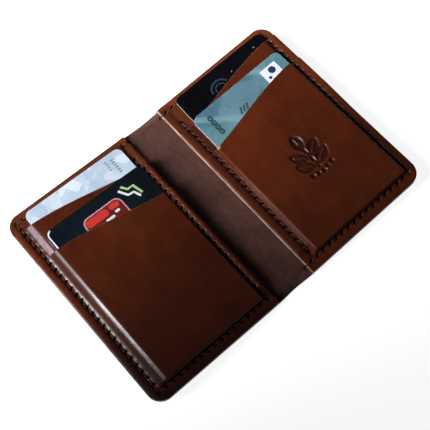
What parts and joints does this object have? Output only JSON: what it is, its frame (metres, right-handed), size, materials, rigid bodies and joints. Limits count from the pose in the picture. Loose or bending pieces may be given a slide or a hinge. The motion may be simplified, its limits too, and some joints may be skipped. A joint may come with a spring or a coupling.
{
  "type": "bifold card wallet",
  "caption": "Open bifold leather card wallet whose stitched panels, with sloping moulded pockets for sliding cards, fold together on a soft spine.",
  "frame": {"origin": "middle of the spine's outer face, halfway along the fold", "axes": "+X from the left panel to the right panel, +Y towards the pocket mouths, +Z out of the inside of the open wallet"},
  "size_m": [0.1608, 0.11, 0.0112],
  "materials": {
    "shell_leather": "waxed grain outside, matt flesh side inside",
    "base_leather": "waxed smooth grain, raw cut edge",
    "pocket_leather": "glossy waxed grain, wet-moulded",
    "waxed_thread": "waxed linen thread",
    "silver_card": "satin laminate",
    "black_card": "satin laminate",
    "dark_card": "satin laminate",
    "teal_card": "satin laminate"
  },
  "bodies": {
    "spine": {"spine": "shell_leather"},
    "left_panel": {"left_cover": "shell_leather", "left_base": "base_leather", "left_rear_pocket": "pocket_leather", "left_front_pocket": "pocket_leather", "left_rim_thread": "waxed_thread", "left_inner_thread": "waxed_thread", "left_pocket_thread": "waxed_thread"},
    "right_panel": {"right_cover": "shell_leather", "right_base": "base_leather", "right_rear_pocket": "pocket_leather", "right_front_pocket": "pocket_leather", "right_rim_thread": "waxed_thread", "right_inner_thread": "waxed_thread", "right_pocket_thread": "waxed_thread"},
    "left_rear_card": {"left_rear_card": "silver_card"},
    "left_front_card": {"left_front_card": "black_card"},
    "right_rear_card": {"right_rear_card": "dark_card"},
    "right_front_card": {"right_front_card": "teal_card"}
  },
  "joints": [
    {"name": "left_fold", "type": "hinge", "parent": "spine", "child": "left_panel", "pos_m": [-0.00587, 0, 0.0012], "axis": [0, 1, 0], "range_deg": [-3.8, 86.2]},
    {"name": "right_fold", "type": "hinge", "parent": "spine", "child": "right_panel", "pos_m": [0.00587, 0, 0.0012], "axis": [0, -1, 0], "range_deg": [-3.8, 86.2]},
    {"name": "left_rear_card_slide", "type": "slide", "parent": "left_panel", "child": "left_rear_card", "axis": [0, 1, 0], "range_m": [0, 0.065]},
    {"name": "left_front_card_slide", "type": "slide", "parent": "left_panel", "child": "left_front_card", "axis": [0, 1, 0], "range_m": [0, 0.06]},
    {"name": "right_rear_card_slide", "type": "slide", "parent": "right_panel", "child": "right_rear_card", "axis": [0, 1, 0], "range_m": [0, 0.065]},
    {"name": "right_front_card_slide", "type": "slide", "parent": "right_panel", "child": "right_front_card", "axis": [0, 1, 0], "range_m": [0, 0.06]}
  ],
  "couplings": [
    {"joint": "right_fold", "follows": "left_fold", "ratio": 1}
  ]
}
